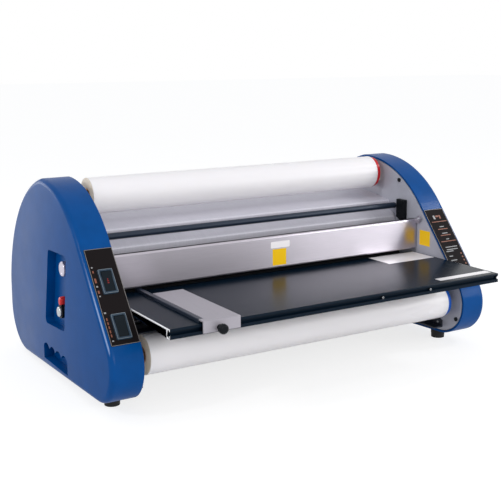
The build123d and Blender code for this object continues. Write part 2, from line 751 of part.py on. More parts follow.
with BuildPart() as lever_grip:
    grip_bottom = lift_axis[1] + 13.0
    low = (hub_start - 11, lift_axis[0] - 10, grip_bottom)
    block(low, (hub_start + 0.5, lift_axis[0] + 10, grip_bottom + 18))
    fillet(lever_grip.edges().filter_by(Axis.X), radius=5.0)
    chamfer(lever_grip.faces().sort_by(Axis.X)[0].edges(), length=1.5)
    block(
        (hub_start - 8, lift_axis[0] - 6, lift_axis[1]),
        (hub_start - 2, lift_axis[0] + 6, lift_axis[1] + lever_length - 6),
        mode=Mode.SUBTRACT,
    )
save(lever_grip, "lever_grip")

with BuildPart() as lift_arms:
    with BuildSketch(Plane.YZ.offset(arm_start)) as arm:
        with Locations(upper_heat):
            Circle(17.0)
        with Locations(arm_pivot):
            Circle(11.0)
        with Locations(((upper_heat[0] + arm_pivot[0]) / 2, arm_pivot[1])):
            Rectangle(arm_pivot[0] - upper_heat[0], 20.0)
        follower_y = lift_axis[0] - cam_radius - follower_gap
        with Locations((follower_y - 6, (arm_pivot[1] + lift_axis[1] - 10) / 2)):
            Rectangle(12.0, arm_pivot[1] - lift_axis[1] + 10)
        with Locations(upper_heat):
            Circle(arm_bush_radius, mode=Mode.SUBTRACT)
        with Locations(arm_pivot):
            Circle(5.0 + running_gap, mode=Mode.SUBTRACT)
    extrude(arm.sketch, amount=arm_thickness)
    mirror(about=Plane.YZ)
save(lift_arms, "lift_arms")

with BuildPart() as arm_bushes:
    tube(upper_heat, arm_bush_radius, heat_journal + running_gap, arm_start, arm_start + arm_thickness)
    tube(upper_heat, 15.0, heat_journal + running_gap, arm_start - 1.5, arm_start)
    mirror(about=Plane.YZ)
save(arm_bushes, "arm_bushes")

# Torsion springs round the pivot studs press the arms and the upper roller down
coil_radius = 6.8
coil_start = arm_start + arm_thickness + spring_wire / 2
coil_turns = 3
coil_pitch = 2.2
coil_end = coil_start + coil_turns * coil_pitch
with BuildPart() as pressure_springs:
    with BuildLine() as wire:
        Helix(
            pitch=coil_pitch,
            height=coil_turns * coil_pitch,
            radius=coil_radius,
            center=(coil_start, arm_pivot[0], arm_pivot[1]),
            direction=(1, 0, 0),
        )
    with BuildSketch(Plane(origin=wire.line @ 0, z_dir=wire.line % 0)) as section:
        RegularPolygon(radius=spring_wire / 2, side_count=6)
    sweep(section.sketch, path=wire.line)
    mirror(about=Plane.YZ)
save(pressure_springs, "pressure_springs")

# Tension knob: a ribbed aluminium wheel whose stem is held in the left plate
with BuildPart() as tension_knob:
    knob_start = window_floor - 1.5
    rib_count = 36
    ribs = []
    for i in range(2 * rib_count):
        ribs.append(on_circle(tension_axis, 16.5 if i % 2 else 15.6, 180 * i / rib_count))
    with BuildSketch(Plane.YZ.offset(knob_start - 9)) as ribbed_rim:
        with BuildLine():
            Polyline(*ribs, close=True)
        make_face()
    extrude(ribbed_rim.sketch, amount=8)
    rod(tension_axis, 15.4, knob_start - 11.5, knob_start)
    chamfer(tension_knob.faces().sort_by(Axis.X)[0].edges(), length=1.5)
    rod(tension_axis, 4.0, knob_start - 1, -plate_inner + 4)
save(tension_knob, "tension_knob")

# Heat shield: a bright sheet with a turned-back top and hem, hung on studs by two ears
with BuildPart() as heat_shield:
    lower_lip = [(shield_y + 6, shield_bottom), (shield_y, shield_bottom)]
    run = lower_lip + [(shield_y, shield_top), (shield_y + 10, shield_top)]
    bent_sheet(run, sheet, -shield_end, shield_end)
    with BuildSketch(Plane.YZ.offset(shield_end - sheet)) as ear:
        with Locations(shield_pivot):
            Circle(6.5)
        with Locations(((shield_pivot[0] + shield_y) / 2, shield_top - 3)):
            Rectangle(shield_y - shield_pivot[0] + 1, 11.0)
        with Locations(shield_pivot):
            Circle(shield_stud_radius + running_gap, mode=Mode.SUBTRACT)
    extrude(ear.sketch, amount=sheet)
    mirror(about=Plane.YZ)
save(heat_shield, "heat_shield")

# Feed tray with its front rail
with BuildPart() as feed_tray:
    tray_under = nip_height - tray_sheet
    rail_back = tray_front + rail_depth
    block((-tray_end, rail_back, tray_under), (tray_end, tray_back, nip_height))
    for side in (-1, 1):
        start, end = sorted((side * tray_end, side * (tray_end - 2)))
        block((start, rail_back, tray_stud_points[0][1] + tray_stud_radius), (end, tray_back, tray_under))
    block((-tray_end + 2, tray_back - 2, tray_under - 8), (tray_end - 2, tray_back, tray_under))
save(feed_tray, "feed_tray")

with BuildPart() as tray_rail:
    rail_bottom = nip_height - rail_height
    block((-tray_end, tray_front, rail_bottom), (tray_end, rail_back, nip_height))
    for start, end, half in [(-1.0, 3.0, 3.6), (3.0, 8.0, 5.5)]:
        low = (-tray_end - 1, tray_front + start, groove_height - half)
        high = (tray_end + 1, tray_front + end, groove_height + half)
        block(low, high, mode=Mode.SUBTRACT)
    outer_edges = tray_rail.edges().filter_by(Axis.X).group_by(Axis.Y)[0]
    fillet(outer_edges.sort_by(Axis.Z)[-1], radius=2.0)
save(tray_rail, "tray_rail")

# Paper guide: a satin plate with a front lip, a black fence, and a knob that clamps it in the rail's groove
with BuildPart() as paper_guide:
    lip_front = tray_front - 7.0
    guide_gap = 0.3
    plate_left = guide_left + fence_width
    block((plate_left, lip_front, guide_top - 2), (guide_right, guide_back, guide_top))
    block((guide_left, lip_front, guide_top - 2), (plate_left, tray_front + 9, guide_top))
    block((plate_left, lip_front, nip_height + guide_gap), (plate_left + 2, guide_back, guide_top))
    block((guide_right - 2, lip_front, nip_height + guide_gap), (guide_right, guide_back, guide_top))
    block((guide_left, lip_front, 168.0), (guide_right, lip_front + 2.5, guide_top))
    with BuildSketch(Plane.XZ.offset(-lip_front - 5)) as stem_hole:
        with Locations((knob_x, groove_height)):
            Circle(3.1)
    extrude(stem_hole.sketch, amount=10, mode=Mode.SUBTRACT)
save(paper_guide, "paper_guide")

with BuildPart() as guide_fence:
    block((guide_left, tray_front + 9, nip_height + guide_gap), (plate_left, -48.0, nip_height + 6.2))
    fillet(guide_fence.edges().filter_by(Axis.Y).group_by(Axis.Z)[-1], radius=2.0)
save(guide_fence, "guide_fence")

with BuildPart() as guide_knob:
    knob_radius = 8.6
    knob_length = 8.5
    collar = 9.5
    knob_plane = Plane(origin=(knob_x, lip_front, groove_height), x_dir=(1, 0, 0), z_dir=(0, -1, 0))
    with BuildSketch(knob_plane):
        Circle(5.0)
    extrude(amount=collar)
    with BuildSketch(knob_plane.offset(collar)) as head:
        Circle(knob_radius)
    extrude(head.sketch, amount=knob_length)
    fillet(guide_knob.faces().sort_by(Axis.Y)[0].edges(), radius=4.0)
    with BuildSketch(knob_plane.offset(collar)) as grooves:
        with PolarLocations(knob_radius + 0.7, 14):
            Circle(1.2)
    extrude(grooves.sketch, amount=knob_length, mode=Mode.SUBTRACT)
    with BuildSketch(knob_plane.offset(-9.5)) as stem:
        Circle(3.0)
    extrude(stem.sketch, amount=9.5)
save(guide_knob, "guide_knob")

with BuildPart() as clamp_nut:
    low = (knob_x - 8, tray_front + 3.3, groove_height - 5.0)
    block(low, (knob_x + 8, tray_front + 7.0, groove_height + 5.0))
    with BuildSketch(Plane.XZ.offset(-tray_front)) as nut_hole:
        with Locations((knob_x, groove_height)):
            Circle(3.05)
    extrude(nut_hole.sketch, amount=-12, mode=Mode.SUBTRACT)
save(clamp_nut, "clamp_nut")

# Electronics behind the left cover
with BuildPart() as control_board:
    board_x = -plate_inner - plate_thickness - 8
    block((board_x - 1.6, 150.0, 55.0), (board_x, 262.0, 138.0))
    block((board_x - 26, 160.0, 60.0), (board_x - 1.6, 205.0, 100.0))
    block((board_x - 16, 215.0, 64.0), (board_x - 1.6, 235.0, 84.0))
    for z in (111.0, 125.0):
        block((board_x - 12, 166.0, z - 5), (board_x - 1.6, 252.0, z + 5))
    for y, z in [(156.0, 61.0), (256.0, 61.0), (156.0, 132.0), (256.0, 132.0)]:
        rod((y, z), 3.0, board_x, -plate_inner - plate_thickness)
save(control_board, "control_board")

# Feet and the black-headed screws that hold the covers
with BuildPart() as feet:
    for x, y in foot_points:
        with BuildSketch(Plane.XY) as sole:
            with Locations((x, y)):
                Circle(foot_radius - 2)
        with BuildSketch(Plane.XY.offset(foot_height)) as top:
            with Locations((x, y)):
                Circle(foot_radius)
        loft([sole.sketch.face(), top.sketch.face()])
    mirror(about=Plane.YZ)
save(feet, "feet")

with BuildPart() as cover_screws:
    for point in cover_screw_points:
        rod(point, 4.5, plate_inner - 2.2, plate_inner)
        rod(point, 2.0, plate_inner, plate_inner + 25)
    mirror(about=Plane.YZ)
save(cover_screws, "cover_screws")
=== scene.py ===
# Roll laminator: the finishes, small parts, light and camera round the nodes of the CAD model.
# Sizes and places of the small parts are in millimetres, those of lamps and camera in metres.
import json
import math

import bmesh
import bpy
from mathutils import Matrix, Vector
from mathutils.bvhtree import BVHTree


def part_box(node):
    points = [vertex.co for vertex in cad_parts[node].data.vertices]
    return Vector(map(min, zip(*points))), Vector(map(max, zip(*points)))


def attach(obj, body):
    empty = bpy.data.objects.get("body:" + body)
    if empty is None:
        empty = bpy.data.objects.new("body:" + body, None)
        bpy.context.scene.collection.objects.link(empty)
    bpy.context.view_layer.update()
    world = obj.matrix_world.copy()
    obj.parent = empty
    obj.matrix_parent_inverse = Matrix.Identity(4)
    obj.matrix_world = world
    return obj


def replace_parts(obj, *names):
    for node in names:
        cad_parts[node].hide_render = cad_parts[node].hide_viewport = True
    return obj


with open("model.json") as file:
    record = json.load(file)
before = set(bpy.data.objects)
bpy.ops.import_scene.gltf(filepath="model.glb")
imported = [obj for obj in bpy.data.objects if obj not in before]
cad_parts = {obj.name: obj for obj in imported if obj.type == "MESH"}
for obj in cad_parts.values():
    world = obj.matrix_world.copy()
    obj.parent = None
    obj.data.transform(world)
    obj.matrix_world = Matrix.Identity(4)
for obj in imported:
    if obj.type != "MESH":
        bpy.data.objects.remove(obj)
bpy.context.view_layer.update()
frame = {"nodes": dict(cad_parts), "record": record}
nodes = frame["nodes"]

# The machine's directions, and the way its panels face
rightwards = Vector((1, 0, 0))
backwards = Vector((0, 1, 0))
upwards = Vector((0, 0, 1))
operator = Vector((0, -0.78, 0.63))


def mm(*values):
    """A vector given in millimetres."""
    return Vector(values) / 1000


# Shader nodes
def feed(tree, node, key, value):
    """Sets a node's input to a value, or joins it to another node's socket."""
    if isinstance(value, bpy.types.NodeSocket):
        tree.links.new(value, node.inputs[key])
    else:
        node.inputs[key].default_value = value


def add(tree, kind, inputs=None, **settings):
    """Adds a shader node with its settings and inputs."""
    node = tree.nodes.new("ShaderNode" + kind)
    for key, value in settings.items():
        setattr(node, key, value)
    for key, value in (inputs or {}).items():
        feed(tree, node, key, value)
    return node


def number_math(tree, operation, *operands):
    """The result of a calculation with numbers."""
    return add(tree, "Math", dict(enumerate(operands)), operation=operation).outputs["Value"]


def vector_math(tree, operation, *operands):
    """The result of a calculation with vectors, which is a number for a length or a dot product."""
    node = add(tree, "VectorMath", dict(enumerate(operands)), operation=operation)
    return node.outputs["Value" if operation in ("LENGTH", "DOT_PRODUCT") else "Vector"]


def blend(tree, factor, first, second):
    """Mixes two colours."""
    inputs = {"Factor": factor, "A": first, "B": second}
    return add(tree, "Mix", inputs, data_type="RGBA").outputs["Result"]


def object_coordinates(tree):
    """The place on the object, in its own frame."""
    return add(tree, "TexCoord").outputs["Object"]


def noise(tree, scale, detail, stretch=(1, 1, 1)):
    """A noise texture in object space, stretched along the axes."""
    place = add(tree, "Mapping", {"Vector": object_coordinates(tree), "Scale": stretch})
    inputs = {"Vector": place.outputs["Vector"], "Scale": scale, "Detail": detail}
    return add(tree, "TexNoise", inputs).outputs["Fac"]


def spread(tree, value, low, high):
    """Maps a noise value, which lies round one half, to the range from low to high."""
    inputs = {"Value": value, "From Min": 0.3, "From Max": 0.7, "To Min": low, "To Max": high}
    return add(tree, "MapRange", inputs).outputs["Result"]


def smooth_step(tree, value, start, end, top=1.0):
    """Rises smoothly from 0 to top while the value goes from start to end."""
    inputs = {"Value": value, "From Min": start, "From Max": end, "To Max": top}
    return add(tree, "MapRange", inputs, interpolation_type="SMOOTHSTEP").outputs["Result"]


def normal_parts(tree):
    """The normal as its size sideways, its part to the back and its part upwards."""
    normal = add(tree, "NewGeometry").outputs["Normal"]
    parts = add(tree, "SeparateXYZ", {"Vector": normal})
    sideways = number_math(tree, "ABSOLUTE", parts.outputs["X"])
    return sideways, parts.outputs["Y"], parts.outputs["Z"]


# Materials
def linear(rgb):
    """Turns a colour given as 0 to 255 sRGB values into linear light."""
    out = []
    for value in rgb:
        c = value / 255
        out.append(c / 12.92 if c <= 0.04045 else ((c + 0.055) / 1.055) ** 2.4)
    return (*out, 1.0)


def principled(mat):
    """The material's main shader."""
    return mat.node_tree.nodes["Principled BSDF"]


relief_strength = 0.6
gloss_grain = 16
tone_grain = 30
smoothest = 0.02
brushed_share = 0.9


def surface(
    name,
    rgb,
    rough,
    metal=0.0,
    coat=0.0,
    coat_rough=0.12,
    spec=0.5,
    bump=None,
    mottle=0.0,
    tone=0.0,
    stretch=(1, 1, 1),
    brushed=None,
):
    """A principled material.

    bump is (scale, height) of a fine relief, mottle an unevenness of the gloss, tone an
    unevenness of the colour, stretch the grain's direction, and brushed the direction across
    which the gloss is blurred.
    """
    mat = bpy.data.materials.new(name)
    mat.use_nodes = True
    tree = mat.node_tree
    shader = principled(mat)
    feed(tree, shader, "Base Color", linear(rgb))
    feed(tree, shader, "Roughness", rough)
    feed(tree, shader, "Metallic", metal)
    feed(tree, shader, "Coat Weight", coat)
    feed(tree, shader, "Coat Roughness", coat_rough)
    feed(tree, shader, "Specular IOR Level", spec)
    if bump:
        scale, height = bump
        grain = noise(tree, scale, 3, stretch)
        inputs = {"Height": grain, "Strength": relief_strength, "Distance": height}
        feed(tree, shader, "Normal", add(tree, "Bump", inputs).outputs["Normal"])
    if mottle:
        grain = noise(tree, gloss_grain, 4, stretch)
        gloss = spread(tree, grain, max(rough - mottle, smoothest), min(rough + mottle, 1))
        feed(tree, shader, "Roughness", gloss)
    if tone:
        darker = linear([v * (1 - tone) for v in rgb])
        lighter = linear([min(v * (1 + tone), 255) for v in rgb])
        share = spread(tree, noise(tree, tone_grain, 4, stretch), 0, 1)
        feed(tree, shader, "Base Color", blend(tree, share, darker, lighter))
    if brushed:
        across = add(tree, "CombineXYZ", dict(zip("XYZ", brushed)))
        feed(tree, shader, "Anisotropic", brushed_share)
        feed(tree, shader, "Tangent", across.outputs["Vector"])
    return mat


def film_look(name, axis):
    """Wound film: milky on the outside, cream with fine rings on the ends."""
    milky = (238, 235, 237)
    dark_cream = (255, 234, 212)
    light_cream = (255, 242, 226)
    ring_scale = 900
    least_end_normal = 0.7
    mat = surface(name, milky, rough=0.32, spec=0.3, mottle=0.05, stretch=(0.3, 1, 1))
    tree = mat.node_tree
    shader = principled(mat)
    feed(tree, shader, "Subsurface Weight", 0.4)
    feed(tree, shader, "Subsurface Radius", (1.0, 0.96, 0.90))
    feed(tree, shader, "Subsurface Scale", 0.02)
    place = object_coordinates(tree)
    from_axis = vector_math(tree, "SUBTRACT", place, (0, axis.y, axis.z))
    radius = vector_math(tree, "LENGTH", vector_math(tree, "MULTIPLY", from_axis, (0, 1, 1)))
    inputs = {"W": radius, "Scale": ring_scale, "Detail": 3}
    rings = add(tree, "TexNoise", inputs, noise_dimensions="1D").outputs["Fac"]
    share = spread(tree, rings, 0, 1)
    cream = blend(tree, share, linear(dark_cream), linear(light_cream))
    sideways, _, _ = normal_parts(tree)
    is_end = number_math(tree, "GREATER_THAN", sideways, least_end_normal)
    feed(tree, shader, "Base Color", blend(tree, is_end, linear(milky), cream))
    return mat


def crown(mat, centre, rise):
    """Bends the shading of a moulded side as if it were slightly domed round a centre."""
    tree = mat.node_tree
    relief = principled(mat).inputs["Normal"].links[0].from_node
    away = vector_math(tree, "SUBTRACT", object_coordinates(tree), centre)
    tilt = vector_math(tree, "MULTIPLY", away, rise)
    normal = add(tree, "NewGeometry").outputs["Normal"]
    bent = vector_math(tree, "NORMALIZE", vector_math(tree, "ADD", normal, tilt))
    feed(tree, relief, "Normal", bent)


def painted_ridge_highlight(mat, rgb, share, facing, narrowness, full_height, end_height):
    """Paints a lighter colour on the round ridge that faces a direction, as a highlight, on both
    sides, and less with height.
    """
    tree = mat.node_tree
    shader = principled(mat)
    body = shader.inputs["Base Color"].links[0].from_socket
    sideways, back, up = normal_parts(tree)
    folded = add(tree, "CombineXYZ", {"X": sideways, "Y": back, "Z": up}).outputs["Vector"]
    match = vector_math(tree, "DOT_PRODUCT", folded, Vector(facing).normalized())
    band = smooth_step(tree, match, narrowness, 1.0, share)
    place = add(tree, "SeparateXYZ", {"Vector": object_coordinates(tree)})
    low = smooth_step(tree, place.outputs["Z"], end_height, full_height)
    # The share of painted highlight: strongest on the ridge and low down
    ridge_highlight_share = number_math(tree, "MULTIPLY", band, low)
    feed(tree, shader, "Base Color", blend(tree, ridge_highlight_share, body, linear(rgb)))


finishes = {
    # Finishes of the record's material slots
    "cover_blue": dict(
        rgb=(0, 70, 135),
        rough=0.34,
        coat=0.1,
        coat_rough=0.16,
        spec=0.05,
        bump=(1400, 0.00005),
        mottle=0.03,
        tone=0.03,
    ),
    "plate_grey": dict(
        rgb=(176, 177, 188), rough=0.42, metal=0.15, bump=(900, 0.00004), mottle=0.05, tone=0.02
    ),
    "tray_grey": dict(rgb=(10, 24, 37), rough=0.25, spec=0.08, bump=(1500, 0.00001), mottle=0.006),
    "shield_steel": dict(
        rgb=(190, 185, 194),
        rough=0.30,
        metal=1.0,
        mottle=0.015,
        tone=0.02,
        stretch=(1, 60, 60),
        brushed=(0, 0, 1),
    ),
    "core_board": dict(rgb=(206, 158, 120), rough=0.85, bump=(300, 0.0002), tone=0.12),
    "steel": dict(rgb=(182, 184, 188), rough=0.26, metal=1.0, mottle=0.06, tone=0.04),
    "disc_red": dict(rgb=(190, 22, 34), rough=0.32, spec=0.3, mottle=0.04),
    "disc_blue": dict(rgb=(18, 88, 188), rough=0.32, spec=0.3, mottle=0.04),
    "aluminium": dict(
        rgb=(165, 161, 169),
        rough=0.45,
        metal=0.25,
        spec=0.3,
        mottle=0.04,
        tone=0.02,
        stretch=(60, 1, 60),
    ),
    "black_anodised": dict(rgb=(36, 46, 62), rough=0.32, metal=0.2, spec=0.3, mottle=0.03),
    "panel_black": dict(rgb=(25, 21, 22), rough=0.5, spec=0.05, bump=(1500, 0.00003), mottle=0.04),
    "switch_black": dict(rgb=(14, 24, 31), rough=0.20, spec=0.12, mottle=0.03),
    "knob_black": dict(rgb=(12, 16, 21), rough=0.36, spec=0.12, bump=(900, 0.00008), mottle=0.05),
    "grip_red": dict(rgb=(206, 38, 40), rough=0.35, spec=0.3, mottle=0.05),
    "rubber_black": dict(rgb=(24, 24, 26), rough=0.62, spec=0.25, bump=(500, 0.0001), mottle=0.06),
    "bronze": dict(rgb=(176, 128, 72), rough=0.35, metal=1.0, mottle=0.05, tone=0.05),
    "nylon": dict(rgb=(222, 219, 206), rough=0.50, bump=(400, 0.00008), tone=0.02),
    "ceramic": dict(rgb=(226, 222, 212), rough=0.60, bump=(300, 0.0001), tone=0.03),
    "motor_grey": dict(rgb=(38, 42, 52), rough=0.42, spec=0.3, bump=(700, 0.0001), mottle=0.05),
    "board_green": dict(rgb=(24, 84, 48), rough=0.38, bump=(200, 0.0002), tone=0.08),
    # Finishes of single nodes and of the small pieces
    "sheet_steel": dict(
        rgb=(204, 202, 212),
        rough=0.5,
        metal=0.08,
        spec=0.3,
        mottle=0.04,
        tone=0.03,
        stretch=(60, 1, 1),
    ),
    "bezel_grey": dict(rgb=(44, 62, 78), rough=0.26, spec=0.3, mottle=0.03),
    "fence_grey": dict(rgb=(40, 48, 62), rough=0.3, spec=0.3, mottle=0.03),
    "cut_edge": dict(rgb=(246, 246, 248), rough=0.34, spec=0.3, mottle=0.05),
    "label_white": dict(rgb=(252, 248, 250), rough=0.26, coat=0.2, mottle=0.03),
    "label_yellow": dict(rgb=(255, 204, 14), rough=0.34, spec=0.3, mottle=0.03),
    "print_white": dict(rgb=(148, 149, 151), rough=0.45, mottle=0.03),
    "print_orange": dict(rgb=(126, 70, 48), rough=0.45, mottle=0.03),
    "print_red": dict(rgb=(136, 42, 38), rough=0.40, spec=0.1, mottle=0.03),
    "edge_line": dict(rgb=(128, 124, 122), rough=0.40, mottle=0.04),
    # A painted highlight: the light colour of the rings on the bezels' edges
    "bezel_line": dict(rgb=(112, 124, 134), rough=0.25, coat=0.2, mottle=0.03),
    "knob_metal": dict(rgb=(192, 186, 200), rough=0.30, metal=0.75, mottle=0.04, tone=0.02),
    "bright_steel": dict(rgb=(214, 215, 220), rough=0.20, metal=1.0, mottle=0.04),
}
looks = {name: surface(name, **finish) for name, finish in finishes.items()}
crown(looks["cover_blue"], centre=(0, 0.12, 0.2), rise=(0, 0.8, 0.3))
# Painted highlight: a lighter blue along the covers' front ridge stands in for the gloss of a lamp
# on it
painted_ridge_highlight(
    looks["cover_blue"],
    rgb=(160, 182, 222),
    share=0.6,
    facing=(0.72, -0.54, 0.44),
    narrowness=0.978,
    full_height=0.17,
    end_height=0.27,
)
own_looks = {
    "rear_top_cover": "sheet_steel",
    "rear_panel": "sheet_steel",
    "base_pan": "motor_grey",
    "switch_bodies": "bezel_grey",
    "guide_fence": "fence_grey",
}


def middle(node):
    """The middle of a node's box."""
    low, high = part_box(node)
    return (low + high) / 2


slot_of = {row["node"]: row["material_slot"] for row in frame["record"]["subparts"]}
for name, piece in nodes.items():
    if slot_of[name] == "film_white":
        look = film_look(name.replace("_roll", ""), middle(name))
    else:
        look = looks[own_looks.get(name, slot_of[name])]
    piece.data.materials.clear()
    piece.data.materials.append(look)


# Small pieces
def piece_from(mesh, name, look, body):
    """Turns a bmesh into an object that rides on a body."""
    bmesh.ops.recalc_face_normals(mesh, faces=mesh.faces)
    data = bpy.data.meshes.new(name)
    mesh.to_mesh(data)
    mesh.free()
    data.materials.append(looks[look])
    thing = bpy.data.objects.new(name, data)
    bpy.context.scene.collection.objects.link(thing)
    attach(thing, body)
    return thing


def prism(mesh, outline, lift):
    """Adds a slab to a bmesh: a flat outline and the same outline moved by lift."""
    low = [mesh.verts.new(point) for point in outline]
    high = [mesh.verts.new(point + lift) for point in outline]
    mesh.faces.new(low)
    mesh.faces.new(high)
    for i in range(len(outline)):
        j = (i + 1) % len(outline)
        mesh.faces.new((low[i], low[j], high[j], high[i]))


def bridge(mesh, loops):
    """Joins loops of equal length one after the other, and closes both ends."""
    count = len(loops[0])
    for lower, upper in zip(loops, loops[1:]):
        for i in range(count):
            j = (i + 1) % count
            mesh.faces.new((lower[i], lower[j], upper[j], upper[i]))
    mesh.faces.new(loops[0])
    mesh.faces.new(loops[-1])


def rounded(width, height, radius, steps=5):
    """A rectangle with round corners, as (across, along) pairs round its middle."""
    points = []
    for k, (sx, sy) in enumerate([(1, 1), (-1, 1), (-1, -1), (1, -1)]):
        for i in range(steps + 1):
            turn = math.pi / 2 * (k + i / steps)
            across = sx * (width / 2 - radius) + radius * math.cos(turn)
            along = sy * (height / 2 - radius) + radius * math.sin(turn)
            points.append((across, along))
    return points


class Flat:
    """A flat place on the object, with a direction across it and a direction along it."""

    def __init__(self, origin, across, along):
        self.origin = origin
        self.across = across.normalized()
        self.along = along.normalized()
        self.normal = self.across.cross(self.along).normalized()

    def at(self, across, along, lift=0.0):
        """The point that lies across and along from the origin, and lift above the plane."""
        offset = self.across * across + self.along * along + self.normal * lift
        return self.origin + offset / 1000

    def patch(self, mesh, centre, size, radius, thickness):
        """Adds a thin patch with round corners."""
        outline = [self.at(centre[0] + u, centre[1] + v) for u, v in rounded(*size, radius)]
        prism(mesh, outline, self.normal * thickness / 1000)

    def ring(self, mesh, centre, size, width, radius, thickness=0.15):
        """Adds a thin frame of a width, inside a rectangle with round corners."""
        outer = rounded(*size, radius)
        inner = rounded(size[0] - 2 * width, size[1] - 2 * width, max(radius - width, 0.1))
        lift = self.normal * thickness / 1000
        loops = []
        for points in (outer, inner):
            base = [self.at(centre[0] + u, centre[1] + v) for u, v in points]
            loops.append([mesh.verts.new(p) for p in base])
            loops.append([mesh.verts.new(p + lift) for p in base])
        outer_low, outer_high, inner_low, inner_high = loops
        sides = (
            (outer_low, outer_high),
            (inner_low, inner_high),
            (outer_high, inner_high),
            (outer_low, inner_low),
        )
        for i in range(len(outer)):
            j = (i + 1) % len(outer)
            for first, second in sides:
                mesh.faces.new((first[i], first[j], second[j], second[i]))


def patches(name, flat, look, rows, body="frame", thickness=0.12):
    """Thin patches as one piece, each given by its middle, its size and its corner radius."""
    mesh = bmesh.new()
    for across, along, width, length, radius in rows:
        flat.patch(mesh, (across, along), (width, length), radius, thickness)
    piece_from(mesh, name, look, body)


def screw_head(mesh, centre, direction, radius, height):
    """Adds a round screw head with a sunk socket."""
    direction = direction.normalized()
    side = direction.orthogonal().normalized()
    other = direction.cross(side)
    sides = 18
    # Shares of the radius and of the height, from the foot over the rim into the socket
    profile = [(1.0, 0.0), (1.0, 0.5), (0.82, 1.0), (0.45, 1.0), (0.40, 0.4)]
    loops = []
    for reach, rise in profile:
        loop = []
        for i in range(sides):
            turn = 2 * math.pi * i / sides
            outwards = (side * math.cos(turn) + other * math.sin(turn)) * radius * reach
            loop.append(mesh.verts.new(centre + (outwards + direction * height * rise) / 1000))
        loops.append(loop)
    bridge(mesh, loops)


def screws(name, places, direction, radius, height, look="steel"):
    """A set of like screw heads, as one piece."""
    mesh = bmesh.new()
    for place in places:
        screw_head(mesh, place, direction, radius, height)
    piece_from(mesh, name, look, "frame")


def largest_face(node, towards):
    """The middle and the normal of a node's largest flat face that looks roughly one way."""
    data = nodes[node].data
    least_match = 0.8
    groups = {}
    for poly in data.polygons:
        if poly.normal.dot(towards) > least_match:
            key = tuple(round(v, 2) for v in poly.normal)
            groups.setdefault(key, []).append(poly)
    polys = max(groups.values(), key=lambda group: sum(p.area for p in group))
    points = [data.vertices[i].co for p in polys for i in p.vertices]
    low = Vector(min(p[k] for p in points) for k in range(3))
    high = Vector(max(p[k] for p in points) for k in range(3))
    return (low + high) / 2, polys[0].normal.copy()


def surface_point(node, start, direction):
    """The place and the normal where a ray meets a node."""
    data = nodes[node].data
    corners = [v.co for v in data.vertices]
    tree = BVHTree.FromPolygons(corners, [p.vertices for p in data.polygons])
    place, normal, _, _ = tree.ray_cast(start, direction)
    return place, normal


# Panels on the slopes: a light border line, and plain marks
panel_length = 185.0
border_inset = 0.3
border_width = 0.8
border_radius = 1.8
panels = {}
for side, node in (("left", "control_panel"), ("right", "info_panel")):
    face, normal = largest_face(node, operator)
    low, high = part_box(node)
    origin = Vector(((low.x + high.x) / 2, face.y, face.z))
    panels[side] = Flat(origin, rightwards, Vector((0, normal.z, -normal.y)))
    panel_width = (high.x - low.x) * 1000
    border = (panel_width - 2 * border_inset, panel_length - 2 * border_inset)
    mesh = bmesh.new()
    panels[side].ring(mesh, (0, 0), border, border_width, border_radius)
    piece_from(mesh, f"{side}_panel_border", "edge_line", "frame")

mark_radius = 0.3
mark_thickness = 0.1


def marks(name, side, look, rows):
    """Plain printed bars on a panel, each given by its middle and its size."""
    rows = [(*row, mark_radius) for row in rows]
    patches(name, panels[side], look, rows, thickness=mark_thickness)


# On the left panel all marks stand on one line: (along, width, length)
legend_x = -20.8
left_white = [
    (56.6, 3.0, 2.4),
    (19.6, 3.2, 2.6),
    (1.0, 2.6, 2.4),
    (-31.0, 3.8, 2.8),
    (-83.0, 3.2, 2.4),
]
left_orange = [(48.0, 2.4, 4.5), (31.0, 3.4, 9.0), (9.0, 3.0, 5.5)]
dash_top = -43.0
dash_pitch = 7.6
for step in range(5):
    left_orange.append((dash_top - dash_pitch * step, 2.2, 5.2))
marks("left_marks_white", "left", "print_white", [(legend_x, *row) for row in left_white])
marks("left_marks_orange", "left", "print_orange", [(legend_x, *row) for row in left_orange])

# On the right panel: a heading, lines of print and a column of squares
line_height = 1.8
heading_along = 72.3
right_white = [(-7.5, heading_along, 5.0, 9.0)]
for across, along, width in [
    (1.5, 48.4, 12.0),
    (1.5, 32.1, 15.0),
    (1.5, 17.4, 8.0),
    (1.5, -1.7, 33.0),
    (1.0, -7.7, 31.0),
    (-8.0, -11.9, 20.0),
    (-11.0, -23.7, 10.0),
    (-8.0, -33.7, 17.0),
]:
    right_white.append((across, along, width, line_height))
right_orange = [(1.0, heading_along + 2.0, 8.0, 4.0), (8.5, heading_along, 4.0, 9.0)]
for along, width in [(61.1, 42.0), (42.4, 27.0), (27.2, 28.0), (12.3, 42.0)]:
    right_orange.append((1.5, along, width, line_height))
square_x = 19.4
square_top = -20.0
square_pitch = 8.0
square_side = 3.4
for step in range(4):
    right_orange.append((square_x, square_top - square_pitch * step, square_side, square_side))
marks("right_marks_white", "right", "print_white", right_white)
marks("right_marks_orange", "right", "print_orange", right_orange)

